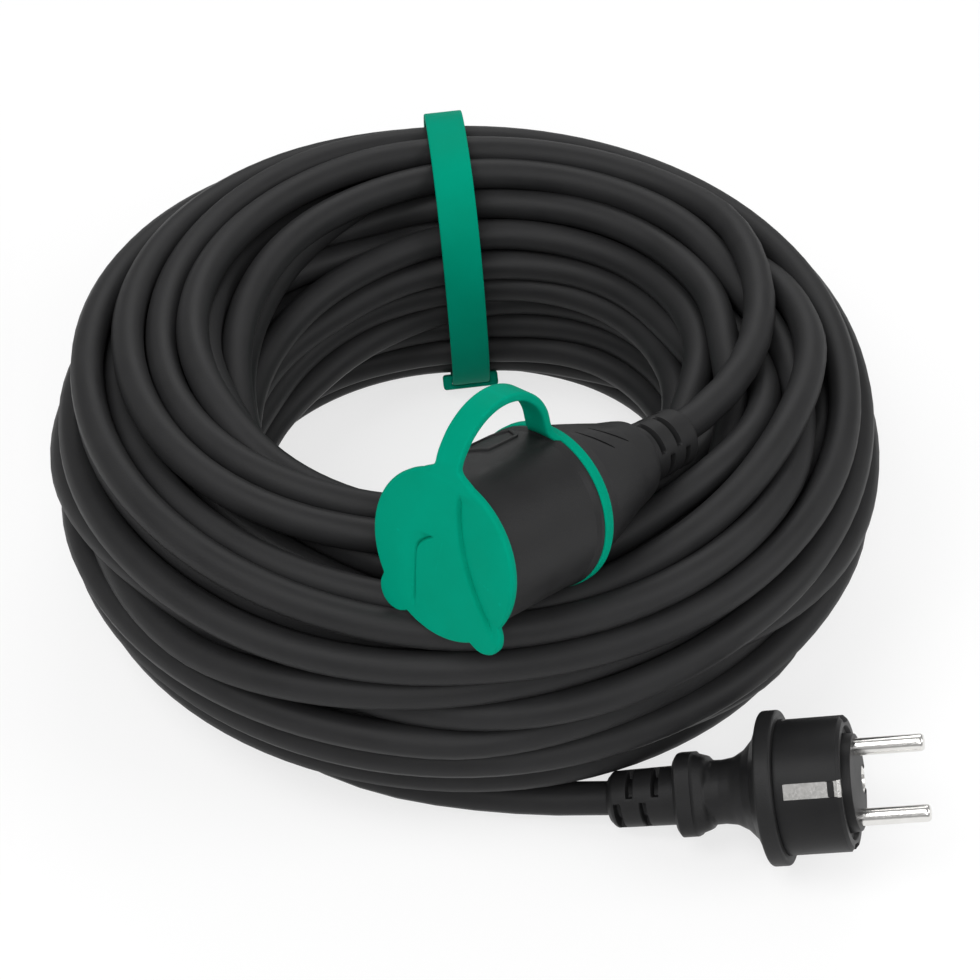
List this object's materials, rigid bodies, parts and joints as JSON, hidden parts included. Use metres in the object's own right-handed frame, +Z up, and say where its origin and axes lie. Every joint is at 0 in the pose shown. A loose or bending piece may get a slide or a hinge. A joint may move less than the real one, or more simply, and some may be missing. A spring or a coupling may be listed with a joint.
{
  "type": "extension cord",
  "caption": "Coiled outdoor extension cord: round rubber cable, earthed two-pin plug, covered coupler with a tethered dust cap, and a strap round the coil.",
  "frame": {"origin": "centre of the coil's eye, on the floor that the coil lies on", "axes": "+Z up along the coil's axis, +X towards the plug's pins, -Y towards the coupler's mouth"},
  "size_m": [0.2475, 0.2616, 0.1439],
  "materials": {
    "cable_rubber": "satin extruded rubber",
    "moulded_rubber": "fine matt moulded rubber",
    "carrier_plastic": "satin moulded thermoplastic",
    "green_rubber": "smooth silicone-like rubber",
    "nickel": "bright nickel plate",
    "contact_brass": "plain spring brass",
    "core_brown": "smooth insulation",
    "core_blue": "smooth insulation",
    "core_green_yellow": "smooth two-colour insulation"
  },
  "bodies": {
    "root": {"cable_coil": "cable_rubber", "cap_ring": "green_rubber", "coupler_body": "moulded_rubber", "coupler_contact_line": "contact_brass", "coupler_contact_neutral": "contact_brass", "coupler_core_earth": "core_green_yellow", "coupler_core_line": "core_brown", "coupler_core_neutral": "core_blue", "coupler_earth_bridge": "nickel", "coupler_insert": "carrier_plastic", "coupler_lead": "cable_rubber", "coupler_relief": "moulded_rubber", "pin_line": "nickel", "pin_neutral": "nickel", "plug_body": "moulded_rubber", "plug_carrier": "carrier_plastic", "plug_core_earth": "core_green_yellow", "plug_core_line": "core_brown", "plug_core_neutral": "core_blue", "plug_earth_bow": "nickel", "plug_earth_crimp": "nickel", "plug_earth_socket": "nickel", "plug_lead": "cable_rubber", "plug_relief": "moulded_rubber", "strap_band": "green_rubber", "strap_keeper": "green_rubber"},
    "cap": {"cap": "green_rubber"},
    "tether": {"cap_tether": "green_rubber"},
    "clip_upper": {"earth_clip_upper": "nickel"},
    "clip_lower": {"earth_clip_lower": "nickel"}
  },
  "joints": [
    {"name": "cap_pull", "type": "slide", "parent": "root", "child": "tether", "axis": [-0.6645, -0.7126, 0.225], "range_m": [0, 0.008]},
    {"name": "cap_open", "type": "hinge", "parent": "tether", "child": "cap", "pos_m": [-0.00409, -0.10587, 0.1314], "axis": [-0.746, 0.6502, -0.144], "range_deg": [0, 110]},
    {"name": "earth_clip_upper_flex", "type": "hinge", "parent": "root", "child": "clip_upper", "pos_m": [0.01039, -0.09198, 0.11906], "axis": [-0.746, 0.6502, -0.144], "range_deg": [0, 4], "stiffness_Nm_per_rad": 0.5},
    {"name": "earth_clip_lower_flex", "type": "hinge", "parent": "root", "child": "clip_lower", "pos_m": [0.00892, -0.10089, 0.08649], "axis": [0.746, -0.6502, 0.144], "range_deg": [0, 4], "stiffness_Nm_per_rad": 0.5}
  ]
}
